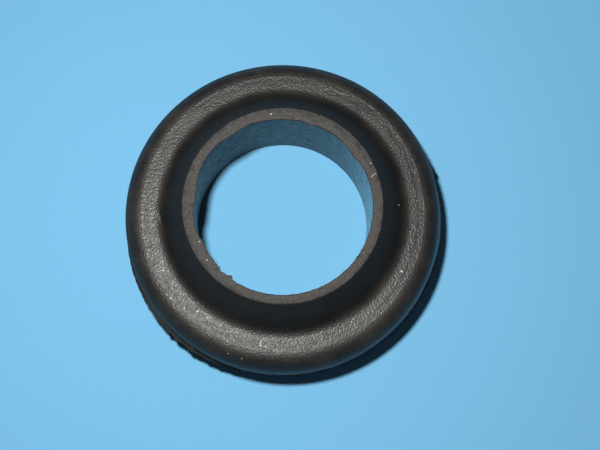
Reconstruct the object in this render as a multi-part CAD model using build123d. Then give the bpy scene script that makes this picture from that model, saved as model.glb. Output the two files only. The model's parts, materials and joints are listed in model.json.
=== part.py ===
"""Knob gasket: one moulded rubber ring with a rounded flange, a sloping neck and a flat lip round the bore.

Millimetres and degrees. +Z is up along the bore, and z = 0 is the flat seat face under the flange.
"""
from build123d import *
import math
import os

# Driving dimensions, from the bore outwards
bore_diameter = 15.0
lip_width = 0.84
neck_run = 1.98
flange_width = 3.23

# Heights above the seat face
flange_height = 6.0
neck_height = 2.65
parting_share = 0.47

# Edges and mould draft
seat_edge_radius = 1.3
shoulder_radius = 1.6
neck_fillet_radius = 1.0
lip_edge_chamfer = 0.15
draft_angle = 2.0

# Flash left on the parting line: a torn web on one side and a nib on the other
flash_thickness = 0.16
flash_root = 0.16
web_reach = 0.36
web_direction = 221.0
web_spread = 64.0
nib_reach = 0.24
nib_direction = 18.0
nib_spread = 18.0
tear_radius = 0.22
tear_shares = [0.50, 0.58, 0.66, 0.74, 0.82]
tear_depth_shares = [0.35, 0.60, 0.40, 0.75, 0.45]

# Derived sizes
bore_radius = bore_diameter / 2
lip_radius = bore_radius + lip_width
neck_foot_radius = lip_radius + neck_run
rim_radius = neck_foot_radius + flange_width
overall_height = flange_height + neck_height
parting_height = flange_height * parting_share


def drafted(height):
    """How far a drafted mould wall leans in over a height."""
    return height * math.tan(math.radians(draft_angle))


def corner_at(section, point):
    """The section's corner nearest to a point."""
    return section.vertices().sort_by_distance(point)[0]


def gasket_section():
    """Half section, x outwards from the bore axis: seat, drafted rim, flat flange, neck, lip and bore."""
    bore_foot = Vector(bore_radius, 0)
    seat_corner = Vector(rim_radius - drafted(parting_height), 0)
    parting_point = Vector(rim_radius, parting_height)
    shoulder_corner = Vector(rim_radius - drafted(flange_height - parting_height), flange_height)
    neck_foot = Vector(neck_foot_radius, flange_height)
    lip_corner = Vector(lip_radius, overall_height)
    bore_top = Vector(bore_radius, overall_height)
    corners = [bore_foot, seat_corner, parting_point, shoulder_corner, neck_foot, lip_corner, bore_top]

    section = make_face(Polyline(corners, close=True))
    section = fillet(corner_at(section, seat_corner), seat_edge_radius)
    section = fillet(corner_at(section, shoulder_corner), shoulder_radius)
    section = fillet(corner_at(section, neck_foot), neck_fillet_radius)
    return chamfer(corner_at(section, lip_corner), lip_edge_chamfer)


def on_rim(direction, reach):
    """Point beyond the rim by a reach, in a direction seen along the bore."""
    return Vector(rim_radius + reach, 0).rotate(Axis.Z, direction)


def flash_crescent(direction, spread, reach):
    """Face of a crescent that stands out from the rim, with its ends and its inner side in the flange."""
    start = on_rim(direction - spread / 2, -flash_root)
    end = on_rim(direction + spread / 2, -flash_root)
    crest = on_rim(direction, reach)
    inner = on_rim(direction, -flange_width / 2)
    return make_face([ThreePointArc(start, crest, end), Polyline(end, inner, start)])


def flash_sheet(face):
    """Sheet of flash on the parting line, of the flash's thickness."""
    return Pos(0, 0, parting_height) * extrude(face, flash_thickness / 2, both=True)


def torn_web():
    """Crescent of flash with scallops torn out of its outer edge."""
    crescent = flash_crescent(web_direction, web_spread, web_reach)
    for share, depth_share in zip(tear_shares, tear_depth_shares):
        direction = web_direction + web_spread * (share - 1 / 2)
        edge_reach = (web_reach + flash_root) * (1 - (2 * share - 1) ** 2) - flash_root
        centre = on_rim(direction, edge_reach + tear_radius * (1 - depth_share))
        crescent -= Pos(centre.X, centre.Y) * Circle(tear_radius)
    return flash_sheet(crescent)


body = revolve(Plane.XZ * gasket_section(), Axis.Z)
nib = flash_sheet(flash_crescent(nib_direction, nib_spread, nib_reach))
knob_gasket = body + torn_web() + nib

os.makedirs("parts", exist_ok=True)
export_step(knob_gasket, "parts/knob_gasket.step")
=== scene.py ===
"""Knob gasket: a moulded black rubber ring, dressed over its CAD frame.

Metres throughout, in the CAD frame: +Z up along the bore, the seat face at z = 0. Turns round the ring
are in degrees from +X, clockwise as seen from above, so that 90 is the side nearest to the camera.
"""
import json
import math
from types import SimpleNamespace

import bpy
import numpy as np
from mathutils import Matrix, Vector


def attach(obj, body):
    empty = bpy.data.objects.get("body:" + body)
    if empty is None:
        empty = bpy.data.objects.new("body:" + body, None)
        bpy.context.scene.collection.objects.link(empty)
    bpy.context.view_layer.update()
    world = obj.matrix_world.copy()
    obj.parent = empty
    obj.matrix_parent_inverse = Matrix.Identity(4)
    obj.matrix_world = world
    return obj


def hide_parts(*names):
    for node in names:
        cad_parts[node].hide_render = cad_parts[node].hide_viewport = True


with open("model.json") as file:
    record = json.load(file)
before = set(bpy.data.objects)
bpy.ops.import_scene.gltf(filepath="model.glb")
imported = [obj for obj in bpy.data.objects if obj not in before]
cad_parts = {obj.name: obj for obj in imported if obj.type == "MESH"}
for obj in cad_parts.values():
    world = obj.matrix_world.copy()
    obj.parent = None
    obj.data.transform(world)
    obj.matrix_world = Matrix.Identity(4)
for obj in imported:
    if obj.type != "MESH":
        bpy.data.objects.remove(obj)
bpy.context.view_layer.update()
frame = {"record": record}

MM = 0.001

# Section of the ring, from the bore outwards and from the seat face up
bore_mount = next(mount for mount in frame["record"]["mounts"] if mount["name"] == "bore")
BORE_RADIUS = bore_mount["dims"]["r_mm"] * MM
OVERALL_HEIGHT = bore_mount["dims"]["length_mm"] * MM
LIP_RADIUS = BORE_RADIUS + 0.84 * MM
NECK_FOOT_RADIUS = LIP_RADIUS + 1.86 * MM
RIM_RADIUS = NECK_FOOT_RADIUS + 3.35 * MM
FLANGE_HEIGHT = 6.0 * MM
PARTING_HEIGHT = 2.82 * MM
FLANGE_FALL = 0.065 * MM
FLANGE_RISE = 0.065 * MM
FLANGE_CROWN = 0.026 * MM
CROWN_SHARE = 0.4
SEAT_EDGE_RADIUS = 1.3 * MM
SHOULDER_RADIUS = 1.63 * MM
NECK_FILLET_RADIUS = 1.3 * MM
LIP_EDGE_RADIUS = 0.2 * MM
BORE_FOOT_RADIUS = 0.15 * MM
DRAFT = math.tan(math.radians(2.0))

# Moulding flash on the parting line, with its limits and wander as shares of its reach
FLASH_THICKNESS = 0.16 * MM
FLASH_TIP_THICKNESS = 0.04 * MM
FLASH_ROOT_SHARE = 0.3
FLASH_RAGGEDNESS = 0.42
FLASH_LEAST = 0.15
FLASH_MOST = 1.6
FLASH_WANDER = 0.1
FLASH_EDGE = (
    # turn, reach beyond the rim in millimetres, share of it that is ragged
    (0.0, 0.30, 0.2),
    (4.0, 0.28, 0.2),
    (9.0, 0.26, 0.2),
    (14.0, 0.21, 0.2),
    (30.0, 0.13, 0.2),
    (60.0, 0.07, 0.3),
    (104.0, 0.07, 0.4),
    (113.0, 0.20, 0.45),
    (126.0, 0.32, 0.35),
    (138.0, 0.34, 0.3),
    (144.0, 0.32, 0.2),
    (157.0, 0.26, 0.1),
    (157.9, 0.20, 0.1),
    (158.8, 0.24, 0.1),
    (166.0, 0.16, 0.2),
    (174.0, 0.06, 0.2),
    (250.0, 0.03, 0.2),
    (333.0, 0.12, 0.3),
    (334.4, 0.36, 0.2),
    (338.6, 0.46, 0.2),
    (341.6, 0.50, 0.2),
    (342.8, 0.34, 0.2),
    (352.6, 0.33, 0.3),
    (356.0, 0.31, 0.2),
)
FLASH_FLARE = (
    # turn, how far the wall above the flash flares out to meet it, in millimetres
    (3.0, 0.28),
    (8.0, 0.25),
    (13.0, 0.18),
    (18.0, 0.10),
    (28.0, 0.05),
    (60.0, 0.00),
    (325.0, 0.00),
    (333.0, 0.04),
    (334.4, 0.28),
    (338.6, 0.40),
    (341.6, 0.44),
    (342.8, 0.22),
    (348.0, 0.18),
    (352.0, 0.24),
    (357.6, 0.29),
)
FLASH_FLAKES = (
    # turn, half width in degrees
    (124.3, 1.6),
    (116.5, 2.2),
    (98.0, 1.2),
)

# Frayed inner edge of the lip
LIP_EDGE = (
    # turn, reach into the bore in millimetres, share of the fine fray
    (0.0, 0.06, 0.5),
    (45.0, -0.02, 0.6),
    (90.0, -0.06, 0.7),
    (118.0, -0.04, 0.9),
    (123.0, 0.00, 0.6),
    (124.2, 0.22, 0.5),
    (125.8, 0.22, 0.5),
    (127.0, 0.03, 0.6),
    (128.4, 0.09, 0.6),
    (129.8, 0.00, 1.0),
    (139.0, 0.18, 1.0),
    (147.0, 0.18, 1.0),
    (156.0, 0.28, 1.0),
    (160.5, 0.09, 0.8),
    (178.0, 0.10, 0.4),
    (182.0, 0.26, 0.4),
    (191.0, 0.27, 0.3),
    (203.0, 0.06, 0.3),
    (221.0, 0.02, 0.3),
    (236.0, 0.24, 0.3),
    (250.0, 0.11, 0.3),
    (262.0, 0.21, 0.3),
    (283.0, 0.23, 0.3),
    (289.5, 0.36, 0.3),
    (294.0, 0.22, 0.3),
    (312.0, 0.17, 0.4),
    (325.0, 0.38, 0.4),
    (333.0, 0.15, 0.4),
    (350.0, 0.06, 0.5),
)
FRAY = 0.030 * MM
FRAY_DEPTH = 0.40 * MM
FRAY_SAG = 1.6
FRAY_WANDER = 0.35
LIP_UNEVENNESS = 0.012 * MM

# How torn the lip is at its outer edge and on its face, and where the face turns smooth towards the bore
EDGE_TORN = 0.10
FACE_TORN = 0.55
FACE_SMOOTH_START = 0.86
FACE_SMOOTHING = 0.7

# Stretches round the ring that differ from the rest: turn of the middle, half length in degrees
NIB = (338.5, 7.0)
NIB_SIDE = (350.0, 60.0)
WEB_SIDE = (120.0, 80.0)
TOOLED_SIDE = (345.0, 95.0)
POLISHED_WALL = (15.0, 70.0)
POLISHED_BORE = (0.0, 80.0)
DULLED_BORE = (222.0, 60.0)
DULLED_SHOULDER = (65.0, 135.0)
WORN_LIP = (300.0, 60.0)
WIDE_NECK = (285.0, 130.0)

# Where one finish gives way to the next on the flange
NECK_EDGE = 0.3 * MM
NECK_WIDENING = 0.4 * MM
NECK_BLEND = 0.4 * MM
SHOULDER_START = 11.45 * MM
SHOULDER_BLEND = 1.3 * MM
WALL_START = 0.7 * MM
WALL_BLEND = 0.5 * MM

# Finishes that the grid carries to the material, the torn one also carrying a painted highlight along the
# flash root, and how rough and grained each stretch of rubber is
FINISH_NAMES = ("torn_and_lit_edge", "grain", "rough", "drawn", "tooled")
SEAT_ROUGHNESS = 0.50
SKIN_ROUGHNESS = 0.45
SHOULDER_DULLING = 0.11
FAINT_DULLING = 0.35
FAINT_TOOLING = 0.12
NECK_ROUGHNESS = 0.60
NECK_GRAIN = 0.25
LIP_EDGE_ROUGHNESS = 0.70
LIP_FACE_ROUGHNESS = 0.86
LIP_WEAR = 0.10
TEAR_ROUGHNESS = 0.60
BORE_ROUGHNESS = 0.40
BORE_POLISH = 0.20
BORE_DULLING = 0.12
WALL_ROUGHNESS = 0.62
WALL_POLISH = 0.20
WALL_GRAIN = 0.5
FLASH_ROUGHNESS = 0.80
FLARE_DULLING = 0.35

# Dents in the flange beside the neck, and the slight waviness of its skin
DENTS = (
    # turn, radius, half length in degrees, half width, slant in radius per degree, depth
    (175.6, 10.24 * MM, 5.5, 0.17 * MM, 0.050 * MM, 0.075 * MM),
    (203.0, 10.30 * MM, 3.5, 0.10 * MM, -0.030 * MM, 0.025 * MM),
)
SKIN_WAVE = 0.004 * MM

# Photograph's frame and viewing angle
PHOTO_WIDTH = 600
PHOTO_HEIGHT = 450
FOCAL_PIXELS = 1200
AXIS_PIXEL = (282.7, 226.1)
CAMERA_ELEVATION = math.radians(78.0)
CAMERA_DISTANCE = 107.4 * MM
SENSOR_WIDTH = 36

# Grid of the ring: columns round it, and rows on the stretches that are moved column by column
COLUMNS = 720
WALL_ROWS = 9
FACE_ROWS = 12
TEAR_ROWS = 7
SHARP_ANGLE = math.radians(50)
FINEST_WAVES = 200
TURN = np.linspace(0, 2 * np.pi, COLUMNS, endpoint=False)


def ring_noise(seed, lowest, highest, fall):
    """Noise round the ring: cosines of whole wave numbers with random phases, deviation 1."""
    rng = np.random.default_rng(seed)
    waves = np.arange(lowest, highest + 1)[:, None]
    heights = rng.normal(size=waves.shape) * waves ** -fall
    phases = rng.uniform(0, 2 * np.pi, size=waves.shape)
    total = (heights * np.cos(waves * TURN + phases)).sum(axis=0)
    return total / total.std()


def patch_noise(seed, rows, cells_along, cells_around):
    """Noise over a patch of the grid: white noise, its short waves damped by a Gaussian, deviation 1."""
    rng = np.random.default_rng(seed)
    spectrum = np.fft.fft2(rng.normal(size=(rows, COLUMNS)))
    along = np.fft.fftfreq(rows)[:, None] * rows / cells_along
    around = np.fft.fftfreq(COLUMNS) * COLUMNS / cells_around
    smooth = np.fft.ifft2(spectrum * np.exp(-along ** 2 - around ** 2)).real
    return (smooth - smooth.mean()) / smooth.std()


def turned_from(degrees):
    """Signed angle of every column from a turn, in degrees between -180 and 180."""
    return (np.degrees(TURN) - degrees + 180) % 360 - 180


def swell(degrees, half_width):
    """One rounded swelling about a turn: a raised cosine, 1 in the middle and 0 at the half width."""
    share = np.clip(turned_from(degrees) / half_width, -1, 1)
    return (1 + np.cos(np.pi * share)) / 2


def round_table(table, column):
    """One column of a table of turns, joined by straight runs all the way round and slightly eased."""
    values = np.array(table)
    joined = np.interp(np.degrees(TURN), values[:, 0], values[:, column], period=360)
    waves = np.fft.rfftfreq(COLUMNS) * COLUMNS
    return np.fft.irfft(np.fft.rfft(joined) * np.exp(-(waves / FINEST_WAVES) ** 2), COLUMNS)


def line(start, end, count):
    """Evenly spaced points from start towards end, without the end point itself."""
    share = np.linspace(0, 1, count, endpoint=False)[:, None]
    return np.asarray(start) * (1 - share) + np.asarray(end) * share


def corner_arc(before, corner, after, radius, count):
    """Circular arc that touches both sides of a corner, from its first touching point to its last."""
    corner = np.asarray(corner)
    to_before = (np.asarray(before) - corner) / np.linalg.norm(np.asarray(before) - corner)
    to_after = (np.asarray(after) - corner) / np.linalg.norm(np.asarray(after) - corner)
    half_angle = math.acos(np.dot(to_before, to_after)) / 2
    middle = (to_before + to_after) / np.linalg.norm(to_before + to_after)
    centre = corner + middle * radius / math.sin(half_angle)
    first = corner + to_before * radius / math.tan(half_angle) - centre
    last = corner + to_after * radius / math.tan(half_angle) - centre
    sweep = math.pi - 2 * half_angle
    share = np.linspace(0, 1, count)[:, None]
    return centre + (first * np.sin((1 - share) * sweep) + last * np.sin(share * sweep)) / math.sin(sweep)


def crown_curve(start, control, end, count):
    """Parabola from start to end whose end tangents meet at the control point, without its two ends."""
    share = np.linspace(0, 1, count + 2)[1:-1, None]
    ends = np.asarray(start) * (1 - share) ** 2 + np.asarray(end) * share ** 2
    return ends + 2 * control * share * (1 - share)


def carried_round(points):
    """A section stretch carried round the ring unchanged: radius and height for every point and column."""
    points = np.asarray(points)
    radius = np.repeat(points[:, :1], COLUMNS, axis=1)
    height = np.repeat(points[:, 1:], COLUMNS, axis=1)
    return radius, height


def lip_reach():
    """How far the lip's inner edge stands into the bore at each column: torn stretches and a fine fray."""
    strength = 1 + 0.4 * ring_noise(seed=12, lowest=5, highest=30, fall=0.3)
    fray = ring_noise(seed=11, lowest=30, highest=230, fall=0.35) * strength
    return round_table(LIP_EDGE, 1) * MM + FRAY * fray * round_table(LIP_EDGE, 2)


def flash_reach():
    """How far the flash on the parting line stands out at each column, ragged where it was torn off."""
    ragged = round_table(FLASH_EDGE, 2) * ring_noise(seed=22, lowest=30, highest=170, fall=0.25)
    share = np.clip(1 + FLASH_RAGGEDNESS * ragged, FLASH_LEAST, FLASH_MOST)
    return round_table(FLASH_EDGE, 1) * MM * share


def skin_marks(radius, height):
    """Flange height with a slight waviness and with dents, each a Gaussian across and a parabola along."""
    wave = patch_noise(seed=31, rows=radius.shape[0], cells_along=5, cells_around=26)
    marked = height + SKIN_WAVE * wave
    for turn, dent_radius, half_length, half_width, slant, depth in DENTS:
        middle = dent_radius + slant * turned_from(turn)
        along = 1 - np.clip(turned_from(turn) / half_length, -1, 1) ** 2
        marked = marked - depth * along * np.exp(-((radius - middle) / half_width) ** 2)
    return marked


def finish(torn_and_lit_edge=0, grain=0, rough=0, drawn=0, tooled=0):
    """Finishes of one stretch, in the order of their names: each a number, or an array over its rows."""
    return torn_and_lit_edge, grain, rough, drawn, tooled


def wall_roughness():
    """Roughness of the outer wall at each column, smoother on the right."""
    return WALL_ROUGHNESS - WALL_POLISH * swell(*POLISHED_WALL)


def gasket_section():
    """Half section of the ring: straight runs and a crowned flange between arcs that touch both sides.

    It follows the CAD section. The flange rises slightly towards the neck, and the bore's foot is rounded.
    """
    wall_foot = np.array((RIM_RADIUS - DRAFT * PARTING_HEIGHT, 0))
    parting = np.array((RIM_RADIUS, PARTING_HEIGHT))
    shoulder_radius = RIM_RADIUS - DRAFT * (FLANGE_HEIGHT - PARTING_HEIGHT)
    shoulder = np.array((shoulder_radius, FLANGE_HEIGHT - FLANGE_FALL))
    crown_radius = shoulder_radius + CROWN_SHARE * (NECK_FOOT_RADIUS - shoulder_radius)
    crown_control = np.array((crown_radius, FLANGE_HEIGHT + FLANGE_CROWN))
    neck_foot = np.array((NECK_FOOT_RADIUS, FLANGE_HEIGHT + FLANGE_RISE))
    lip_corner = np.array((LIP_RADIUS, OVERALL_HEIGHT))
    bore_top = np.array((BORE_RADIUS, OVERALL_HEIGHT))
    bore_foot = np.array((BORE_RADIUS, 0))

    shoulder_arc = corner_arc(parting, shoulder, crown_control, SHOULDER_RADIUS, 16)
    neck_arc = corner_arc(crown_control, neck_foot, lip_corner, NECK_FILLET_RADIUS, 14)
    return SimpleNamespace(
        foot_arc=corner_arc(bore_top, bore_foot, wall_foot, BORE_FOOT_RADIUS, 5),
        seat_arc=corner_arc(bore_foot, wall_foot, parting, SEAT_EDGE_RADIUS, 9),
        under_flash=parting - np.array((0, FLASH_THICKNESS / 2)),
        over_flash=parting + np.array((0, FLASH_THICKNESS / 2)),
        shoulder_arc=shoulder_arc,
        crown=crown_curve(shoulder_arc[-1], crown_control, neck_arc[0], 22),
        neck_arc=neck_arc,
        lip_arc=corner_arc(neck_foot, lip_corner, bore_top, LIP_EDGE_RADIUS, 6),
        bore_start=bore_top - np.array((0, LIP_UNEVENNESS + FRAY_DEPTH)),
    )


def seat_rows(section):
    """Foot of the bore, seat face, its rounded edge and the lower wall, all carried round unchanged."""
    seat = line(section.foot_arc[-1], section.seat_arc[0], 5)[1:]
    lower_wall = np.vstack((line(section.seat_arc[-1], section.under_flash, 4)[1:], section.under_flash))
    return [
        (carried_round(section.foot_arc), finish(grain=0.2, rough=SEAT_ROUGHNESS)),
        (carried_round(seat), finish(grain=0.4, rough=SEAT_ROUGHNESS)),
        (carried_round(section.seat_arc), finish(grain=0.6, rough=SKIN_ROUGHNESS)),
        (carried_round(lower_wall), finish(grain=WALL_GRAIN, rough=wall_roughness(), drawn=0.5)),
    ]


def flash_rows(section):
    """Flash on the parting line and the wall above it, which flares out to the flash along a parabola.

    The fin thins from its root to its ragged tip, whose height wanders with the reach.
    """
    flare = round_table(FLASH_FLARE, 1) * MM
    reach = np.maximum(flash_reach(), flare + FLASH_TIP_THICKNESS)
    tip = PARTING_HEIGHT + FLASH_WANDER * reach * ring_noise(seed=23, lowest=3, highest=30, fall=0.5)
    tip_radius = np.tile(RIM_RADIUS + reach, (2, 1))
    tip_height = tip + np.array((-1, 1))[:, None] * FLASH_TIP_THICKNESS / 2
    root_height = section.over_flash[1]
    fin_radius = RIM_RADIUS + (flare + FLASH_ROOT_SHARE * (reach - flare))[None]
    fin_height = root_height + FLASH_ROOT_SHARE * (tip_height[1:] - root_height)

    wall = line(section.over_flash, section.shoulder_arc[0], WALL_ROWS)
    wall_radius, wall_height = carried_round(wall)
    to_flash = np.linspace(1, 0, WALL_ROWS, endpoint=False)[:, None]
    wall_radius = wall_radius + flare * to_flash ** 2
    wall_rough = wall_roughness() + FLARE_DULLING * to_flash * flare / flare.max()

    nib = swell(*NIB)
    flakes = nib + sum(swell(turn, half_width) for turn, half_width in FLASH_FLAKES)
    # Root row above the flash: torn rubber in the flakes and the nib, and elsewhere a painted highlight, a
    # lit edge painted along the root, strongest on the web side and the nib's side
    root_torn_and_lit_edge = 0.15 + 0.25 * swell(*WEB_SIDE) + 0.20 * swell(*NIB_SIDE) + 0.6 * flakes
    wall_torn = 0.9 * to_flash[1:] * nib
    return [
        ((tip_radius, tip_height), finish(grain=0.2, rough=FLASH_ROUGHNESS)),
        ((fin_radius, fin_height), finish(0.5 * flakes, grain=0.2, rough=FLASH_ROUGHNESS)),
        ((wall_radius[:1], wall_height[:1]), finish(root_torn_and_lit_edge, grain=0.3, rough=wall_rough[:1])),
        ((wall_radius[1:], wall_height[1:]), finish(wall_torn, WALL_GRAIN, wall_rough[1:], drawn=0.5)),
    ]


def flange_rows(section):
    """Shoulder, flange and foot of the neck, with the flange's marks and finishes that blend along it."""
    radius, height = carried_round(np.vstack((section.shoulder_arc, section.crown, section.neck_arc)))
    neck_edge = NECK_EDGE + NECK_WIDENING * swell(*WIDE_NECK)
    to_neck = np.clip((NECK_FOOT_RADIUS + neck_edge - radius) / (neck_edge + NECK_BLEND), 0, 1)
    to_wall = np.clip((radius - RIM_RADIUS + WALL_START) / WALL_BLEND, 0, 1)
    to_shoulder = np.clip((radius - SHOULDER_START) / SHOULDER_BLEND, 0, 1)

    grain = 1 - (1 - NECK_GRAIN) * to_neck - (1 - WALL_GRAIN) * to_wall
    rough = SKIN_ROUGHNESS + (NECK_ROUGHNESS - SKIN_ROUGHNESS) * to_neck
    dulling = FAINT_DULLING + (1 - FAINT_DULLING) * swell(*DULLED_SHOULDER)
    rough = rough + SHOULDER_DULLING * to_shoulder * dulling
    rough = rough + (wall_roughness() - rough) * to_wall
    tooled = FAINT_TOOLING + (1 - FAINT_TOOLING) * swell(*TOOLED_SIDE)
    return [((radius, skin_marks(radius, height)), finish(grain=grain, rough=rough, tooled=tooled))]


def lip_rows(section):
    """Neck, the lip's rounded edge, its torn face, and the frayed rubber that curls down into the bore."""
    neck = line(section.neck_arc[-1], section.lip_arc[0], 16)[1:]
    reach = lip_reach()

    face_share = np.linspace(0, 1, FACE_ROWS + 1)[1:, None]
    face_start = section.lip_arc[-1, 0]
    face_radius = face_start + (BORE_RADIUS - reach - face_start) * face_share
    unevenness = patch_noise(seed=41, rows=FACE_ROWS, cells_along=4, cells_around=150) - 1
    face_height = OVERALL_HEIGHT + LIP_UNEVENNESS * unevenness
    to_bore = np.clip((face_share - FACE_SMOOTH_START) / (1 - FACE_SMOOTH_START), 0, 1)
    face_torn = FACE_TORN + (1 - FACE_TORN) * face_share - FACE_SMOOTHING * to_bore
    face_torn = face_torn - LIP_WEAR * swell(*WORN_LIP)

    tear_share = np.linspace(0, 1, TEAR_ROWS + 1)[1:, None]
    wander = patch_noise(seed=42, rows=TEAR_ROWS, cells_along=2, cells_around=120)
    wander = wander * np.sin(np.pi * tear_share)
    tear_radius = BORE_RADIUS - reach * (1 - tear_share) ** FRAY_SAG * (1 + FRAY_WANDER * wander)
    tear_height = OVERALL_HEIGHT - LIP_UNEVENNESS - FRAY_DEPTH * tear_share
    tear_height = np.repeat(tear_height, COLUMNS, axis=1)
    tear_torn = 0.5 * (1 - tear_share)

    edge_torn = np.linspace(EDGE_TORN, FACE_TORN, len(section.lip_arc))[:, None]
    return [
        (carried_round(neck), finish(grain=NECK_GRAIN, rough=NECK_ROUGHNESS)),
        (carried_round(section.lip_arc), finish(edge_torn, grain=0.2, rough=LIP_EDGE_ROUGHNESS)),
        ((face_radius, face_height), finish(face_torn, rough=LIP_FACE_ROUGHNESS)),
        ((tear_radius, tear_height), finish(tear_torn, rough=TEAR_ROUGHNESS, drawn=0.4)),
    ]


def bore_rows(section):
    """The bore's wall below the fray, carried round unchanged, smoother on the right than on the left."""
    wall = line(section.bore_start, section.foot_arc[0], 12)[1:]
    rough = BORE_ROUGHNESS - BORE_POLISH * swell(*POLISHED_BORE) + BORE_DULLING * swell(*DULLED_BORE)
    return [(carried_round(wall), finish(grain=0.1, rough=rough, drawn=1))]


def gasket_rows():
    """Radius, height and finishes of every grid point, once round the section from the foot of the bore."""
    section = gasket_section()
    stretches = seat_rows(section) + flash_rows(section) + flange_rows(section)
    stretches = stretches + lip_rows(section) + bore_rows(section)
    radius = np.vstack([rows[0] for rows, finishes in stretches])
    height = np.vstack([rows[1] for rows, finishes in stretches])
    columns = [np.vstack([np.broadcast_to(finishes[index], rows[0].shape) for rows, finishes in stretches])
               for index in range(len(FINISH_NAMES))]
    return radius, height, dict(zip(FINISH_NAMES, columns))


def closed_ring_mesh(name, radius, height):
    """Mesh of a grid that closes on itself both ways: along the section and round the ring."""
    rows = radius.shape[0]
    points = np.stack((radius * np.cos(TURN), -radius * np.sin(TURN), height), axis=-1).reshape(-1, 3)
    row, column = np.meshgrid(np.arange(rows), np.arange(COLUMNS), indexing="ij")
    next_row = (row + 1) % rows
    next_column = (column + 1) % COLUMNS
    corners = (row * COLUMNS + column, next_row * COLUMNS + column,
               next_row * COLUMNS + next_column, row * COLUMNS + next_column)
    quads = np.stack(corners, axis=-1).reshape(-1, 4)
    mesh = bpy.data.meshes.new(name)
    mesh.vertices.add(len(points))
    mesh.vertices.foreach_set("co", points.ravel())
    mesh.loops.add(quads.size)
    mesh.loops.foreach_set("vertex_index", quads.ravel().astype(np.int32))
    mesh.polygons.add(len(quads))
    mesh.polygons.foreach_set("loop_start", np.arange(0, quads.size, 4, dtype=np.int32))
    mesh.update(calc_edges=True)
    mesh.validate()
    return mesh


class Shade:
    """A shader value: wraps an output socket, so that a sum or product of values adds a Math node."""

    def __init__(self, nodes, socket):
        self.nodes = nodes
        self.socket = socket

    def maths(self, operation, first, second):
        return self.nodes.add("ShaderNodeMath", {"operation": operation}, {0: first, 1: second})

    def __add__(self, other):
        return self.maths("ADD", self, other)

    def __radd__(self, other):
        return self.maths("ADD", other, self)

    def __sub__(self, other):
        return self.maths("SUBTRACT", self, other)

    def __rsub__(self, other):
        return self.maths("SUBTRACT", other, self)

    def __mul__(self, other):
        return self.maths("MULTIPLY", self, other)

    def __rmul__(self, other):
        return self.maths("MULTIPLY", other, self)


class Nodes:
    """Nodes of a material or a world: add() makes any node from its type, settings and socket values."""

    def __init__(self, owner):
        owner.use_nodes = True
        self.tree = owner.node_tree
        self.tree.nodes.clear()

    def add(self, kind, settings=None, sockets=None, output=0):
        node = self.tree.nodes.new(kind)
        for key, value in (settings or {}).items():
            setattr(node, key, value)
        for key, value in (sockets or {}).items():
            if isinstance(value, Shade):
                self.tree.links.new(value.socket, node.inputs[key])
            else:
                node.inputs[key].default_value = value
        return Shade(self, node.outputs[output] if node.outputs else None)

    def blend(self, share, first, second):
        """Colour between two colours."""
        return self.add("ShaderNodeMix", {"data_type": "RGBA"}, {0: share, 6: first, 7: second}, 2)

    def noise(self, place, scale, detail, roughness):
        return self.add("ShaderNodeTexNoise", {}, {
            "Vector": place, "Scale": scale, "Detail": detail, "Roughness": roughness})

    def attribute(self, name):
        return self.add("ShaderNodeAttribute", {"attribute_name": name}, {}, 2)

    def ramp(self, value, low, high):
        """Share of the way from low to high, smooth at both ends."""
        return self.add("ShaderNodeMapRange", {"interpolation_type": "SMOOTHSTEP"},
                        {"Value": value, "From Min": low, "From Max": high})

    def bump(self, height, depth, below):
        """Normal of a relief of this depth, on top of the normal below it where there is one."""
        sockets = {"Strength": 1.0, "Distance": depth, "Height": height}
        if below is not None:
            sockets["Normal"] = below
        return self.add("ShaderNodeBump", {}, sockets)


# Rubber colours, linear
BLACK_RUBBER = (0.0060, 0.0060, 0.0064, 1)
DULL_RUBBER = (0.034, 0.030, 0.026, 1)
TORN_RUBBER = (0.066, 0.064, 0.063, 1)
TORN_FLECK = (0.140, 0.129, 0.120, 1)
# Painted shade of pits in the torn rubber
PAINTED_PIT_SHADE = (0.028, 0.027, 0.027, 1)
# Dust, also used for painted glints on the flange
DUST_AND_GLINT = (0.66, 0.64, 0.61, 1)

# Patterns in the rubber, in cells to a metre, and the depth of each relief
PEBBLE_SCALE = 4600
NODULE_SCALE = 6000
GLINT_SCALE = 8500
CLOUD_SCALE = 420
PATCH_SCALE = 1500
FIBRE_SCALE = 5200
# Spots of painted pit shade in the torn rubber
PIT_SHADE_SCALE = 2700
STREAK_SCALE = 2400
RING_SCALE = 5200
GRAIN_DEPTH = 0.055 * MM
RING_DEPTH = 0.012 * MM
FIBRE_DEPTH = 0.09 * MM
TOOL_LINE_RADIUS = 11.47 * MM
TOOL_LINE_CORE = 0.02 * MM
TOOL_LINE_EDGE = 0.08 * MM
TOOL_LINE_DULLING = 0.45
SPARKLE = 0.18
BLOOM_SHARE = 0.30
BLOOM_ROUGHNESS = 0.62
BLOOM_IOR = 1.6

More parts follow.
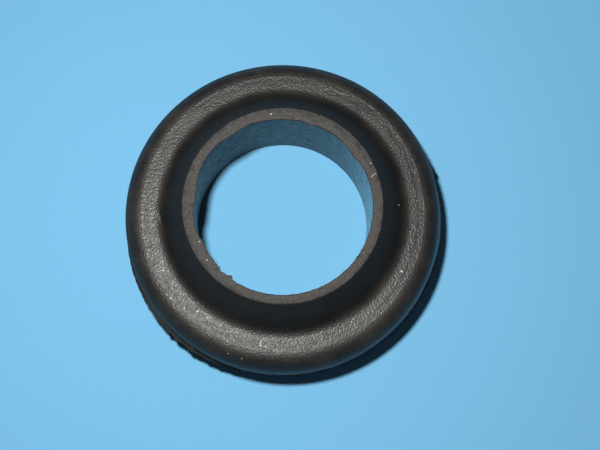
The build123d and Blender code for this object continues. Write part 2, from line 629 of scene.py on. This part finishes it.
# Specks of dust, painted glints in dust colour on the flange, and a pale scratch across the lip: turn,
# radius and height above the seat, size
DUST_AND_GLINT_SPECKS = (
    (262.8, 7.83 * MM, 8.64 * MM, 0.080 * MM),
    (334.4, 8.10 * MM, 8.64 * MM, 0.070 * MM),
    (142.9, 7.75 * MM, 8.64 * MM, 0.070 * MM),
    (155.4, 7.50 * MM, 8.64 * MM, 0.070 * MM),
    (357.6, 9.78 * MM, 6.65 * MM, 0.100 * MM),
    # On the flange top: specks that are dust and painted glints
    (27.4, 11.20 * MM, 6.045 * MM, 0.105 * MM),
    (129.7, 11.09 * MM, 6.05 * MM, 0.105 * MM),
    (141.5, 11.95 * MM, 6.03 * MM, 0.075 * MM),
    (153.0, 11.20 * MM, 6.04 * MM, 0.080 * MM),
    (99.2, 11.51 * MM, 6.04 * MM, 0.090 * MM),
    (97.1, 11.53 * MM, 6.04 * MM, 0.080 * MM),
    # On the shoulder: dust
    (110.6, 12.81 * MM, 5.73 * MM, 0.050 * MM),
    (105.3, 12.87 * MM, 5.69 * MM, 0.050 * MM),
    (342.2, 7.75 * MM, 8.64 * MM, 0.055 * MM),
    (341.8, 7.86 * MM, 8.64 * MM, 0.050 * MM),
    (341.4, 7.98 * MM, 8.64 * MM, 0.050 * MM),
    (341.1, 8.10 * MM, 8.64 * MM, 0.050 * MM),
)


def dust_and_glint_share(rubber, place):
    """How much dust, and on the flange painted glint, covers each place: one soft-edged ball about each
    speck.
    """
    share = 0
    for turn, radius, height, size in DUST_AND_GLINT_SPECKS:
        angle = math.radians(turn)
        spot = (radius * math.cos(angle), -radius * math.sin(angle), height)
        gap = rubber.add("ShaderNodeVectorMath", {"operation": "DISTANCE"}, {0: place, 1: spot}, 1)
        share = share + (1 - rubber.ramp(gap, size / 2, size))
    return share


def rubber_finish():
    """Black rubber: fine moulded grain on the flange, smoother in the bore, dull brown where it is torn,
    with painted shade in its pits, a painted highlight along the flash root, and dust and painted glints in
    specks.
    """
    material = bpy.data.materials.new("black rubber")
    rubber = Nodes(material)
    place = rubber.add("ShaderNodeTexCoord", {}, {}, 3)
    torn_and_lit_edge, grain, rough, drawn, tooled = [rubber.attribute(name) for name in FINISH_NAMES]

    pebbles = rubber.noise(place, PEBBLE_SCALE, 2.0, 0.55)
    hollows = rubber.add("ShaderNodeTexVoronoi", {"feature": "SMOOTH_F1"}, {
        "Vector": place, "Scale": NODULE_SCALE, "Smoothness": 0.3})
    glints = rubber.noise(place, GLINT_SCALE, 1.0, 0.5)
    clouds = rubber.noise(place, CLOUD_SCALE, 3.0, 0.6)
    patches = rubber.noise(place, PATCH_SCALE, 3.0, 0.6)
    fibres = rubber.noise(place, FIBRE_SCALE, 5.0, 0.72)
    # Spots of painted shade standing for pits in the torn rubber
    pit_shade = rubber.noise(place, PIT_SHADE_SCALE, 2.0, 0.5)

    flat_place = rubber.add("ShaderNodeVectorMath", {"operation": "MULTIPLY"}, {0: place, 1: (1, 1, 0)})
    from_axis = rubber.add("ShaderNodeVectorMath", {"operation": "LENGTH"}, {0: flat_place}, 1)
    streaks = rubber.noise(flat_place, STREAK_SCALE, 2.0, 0.6)
    rings = rubber.add("ShaderNodeTexNoise", {"noise_dimensions": "1D"}, {
        "W": from_axis, "Scale": RING_SCALE, "Detail": 2.0, "Roughness": 0.6})
    off_line = rubber.add("ShaderNodeMath", {"operation": "ABSOLUTE"}, {0: from_axis - TOOL_LINE_RADIUS})
    tool_line = 1 - rubber.ramp(off_line, TOOL_LINE_CORE, TOOL_LINE_EDGE)
    tool_line = tool_line * tooled * rubber.ramp(patches, 0.35, 0.5)

    skin = rubber.blend(rubber.ramp(clouds, 0.30, 0.75) * grain * 0.6, BLACK_RUBBER, DULL_RUBBER)
    torn_colour_and_pit_shade = rubber.blend(rubber.ramp(fibres, 0.45, 0.75), TORN_RUBBER, TORN_FLECK)
    # Torn rubber darkened in spots: painted shade of pits
    torn_colour_and_pit_shade = rubber.blend(rubber.ramp(pit_shade, 0.60, 0.80), torn_colour_and_pit_shade, PAINTED_PIT_SHADE)
    # Share of torn colour, which also paints the lit edge along the flash root as a painted highlight
    torn_and_lit_edge_share = rubber.ramp(torn_and_lit_edge + (patches - 0.5) * 0.7, 0.25, 0.75)
    colour = rubber.blend(torn_and_lit_edge_share, skin, torn_colour_and_pit_shade)
    # Pale specks: dust on the lip and neck, dust and painted glints on the flange
    colour = rubber.blend(dust_and_glint_share(rubber, place), colour, DUST_AND_GLINT)

    sparkle = rubber.ramp(glints, 0.60, 0.74) * grain * SPARKLE
    roughness = rough + ((pebbles - 0.5) * 0.20 + (patches - 0.5) * 0.30) * grain - sparkle
    roughness = roughness + ((streaks - 0.5) * 0.06 + (patches - 0.5) * 0.40) * drawn
    roughness = roughness + tool_line * TOOL_LINE_DULLING

    skin_height = (pebbles * 0.15 + glints * 0.15 - hollows * 0.5) * grain
    ring_height = rings * tooled * 0.5 - tool_line * 0.6 + streaks * drawn * 0.25
    grained = rubber.bump(skin_height, GRAIN_DEPTH, None)
    ringed = rubber.bump(ring_height, RING_DEPTH, grained)
    frayed = rubber.bump(fibres * torn_and_lit_edge_share, FIBRE_DEPTH, ringed)

    bloom = rubber.ramp(grain, 0.5, 1.0) * BLOOM_SHARE
    skin_shader = rubber.add("ShaderNodeBsdfPrincipled", {}, {
        "Base Color": colour, "Roughness": roughness, "Normal": frayed,
        "Coat Weight": bloom, "Coat Roughness": BLOOM_ROUGHNESS, "Coat IOR": BLOOM_IOR})
    rubber.add("ShaderNodeOutputMaterial", {}, {"Surface": skin_shader})
    return material


def gasket():
    """The whole ring as one skin that stands for the CAD solid."""
    radius, height, finishes = gasket_rows()
    mesh = closed_ring_mesh("gasket_skin", radius, height)
    for name, values in finishes.items():
        mesh.attributes.new(name, "FLOAT", "POINT").data.foreach_set("value", values.ravel())
    mesh.shade_smooth()
    mesh.set_sharp_from_angle(angle=SHARP_ANGLE)
    mesh.materials.append(rubber_finish())
    ring = bpy.data.objects.new("gasket_skin", mesh)
    bpy.context.scene.collection.objects.link(ring)
    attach(ring, "root")
    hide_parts("knob_gasket")


# Stage
FLOOR_SIZE = 3.0
LAMPLIT_REACH = 22 * MM
EVEN_REACH = 72 * MM
FLOOR_COLOUR = (0.19, 0.52, 0.84, 1)
FLOOR_ROUGHNESS = 0.9
KEY_PLACE = Vector((-12.7, 1.5, 100.0)) * MM
KEY_SIZE = 8 * MM
KEY_POWER = 0.109
KEY_COLOUR = (1.0, 0.975, 0.92)
ROOM_LIGHT = 0.045
ROOM_COLOUR = (0.94, 0.97, 1.0, 1)
BACKGROUND_LEVEL = 0.8


def paper_finish():
    """Pale paper: lit by the lamp round the ring, and seen at its own even colour further off."""
    material = bpy.data.materials.new("pale paper")
    paper = Nodes(material)
    place = paper.add("ShaderNodeTexCoord", {}, {}, 3)
    away = paper.add("ShaderNodeVectorMath", {"operation": "LENGTH"}, {0: place}, 1)
    seen = paper.add("ShaderNodeLightPath")
    share = seen * paper.ramp(away, LAMPLIT_REACH, EVEN_REACH)
    lamplit = paper.add("ShaderNodeBsdfPrincipled", {}, {
        "Base Color": FLOOR_COLOUR, "Roughness": FLOOR_ROUGHNESS})
    even = paper.add("ShaderNodeEmission", {}, {"Color": FLOOR_COLOUR})
    sheet = paper.add("ShaderNodeMixShader", {}, {0: share, 1: lamplit, 2: even})
    paper.add("ShaderNodeOutputMaterial", {}, {"Surface": sheet})
    return material


def pale_floor():
    """A plain pale sheet under the ring: a single square at the height of the seat face."""
    half = FLOOR_SIZE / 2
    corners = [(-half, -half, 0), (half, -half, 0), (half, half, 0), (-half, half, 0)]
    mesh = bpy.data.meshes.new("floor")
    mesh.from_pydata(corners, [], [(0, 1, 2, 3)])
    mesh.materials.append(paper_finish())
    floor = bpy.data.objects.new("floor", mesh)
    bpy.context.scene.collection.objects.link(floor)


def soft_key():
    """One soft lamp beside the camera, to its upper left, aimed at the middle of the ring."""
    lamp = bpy.data.lights.new("soft key", "AREA")
    lamp.shape = "DISK"
    lamp.size = KEY_SIZE
    lamp.energy = KEY_POWER
    lamp.color = KEY_COLOUR
    key = bpy.data.objects.new("soft key", lamp)
    key.location = KEY_PLACE
    key.rotation_euler = (-KEY_PLACE).to_track_quat("-Z", "Y").to_euler()
    bpy.context.scene.collection.objects.link(key)


def room():
    """Even, dim room light, with a pale background where the camera looks past the floor."""
    world = bpy.data.worlds.new("room")
    air = Nodes(world)
    seen = air.add("ShaderNodeLightPath")
    strength = air.add("ShaderNodeMapRange", {}, {
        "Value": seen, "To Min": ROOM_LIGHT, "To Max": BACKGROUND_LEVEL})
    background = air.add("ShaderNodeBackground", {}, {"Color": ROOM_COLOUR, "Strength": strength})
    air.add("ShaderNodeOutputWorld", {}, {"Surface": background})
    bpy.context.scene.world = world


def camera():
    """The photograph's camera: its height angle, distance and framing, with the bore axis on its pixel."""
    lens = bpy.data.cameras.new("camera")
    lens.sensor_width = SENSOR_WIDTH
    lens.lens = SENSOR_WIDTH * FOCAL_PIXELS / PHOTO_WIDTH
    lens.clip_start = MM
    lens.shift_x = (PHOTO_WIDTH / 2 - AXIS_PIXEL[0]) / PHOTO_WIDTH
    lens.shift_y = (AXIS_PIXEL[1] - PHOTO_HEIGHT / 2) / PHOTO_WIDTH
    view = bpy.data.objects.new("camera", lens)
    back = CAMERA_DISTANCE * math.cos(CAMERA_ELEVATION)
    up = CAMERA_DISTANCE * math.sin(CAMERA_ELEVATION)
    view.location = (0, -back, up)
    view.rotation_euler = (math.pi / 2 - CAMERA_ELEVATION, 0, 0)
    bpy.context.scene.collection.objects.link(view)
    bpy.context.scene.camera = view


gasket()
pale_floor()
soft_key()
room()
camera()
bpy.context.scene.view_settings.view_transform = "Standard"
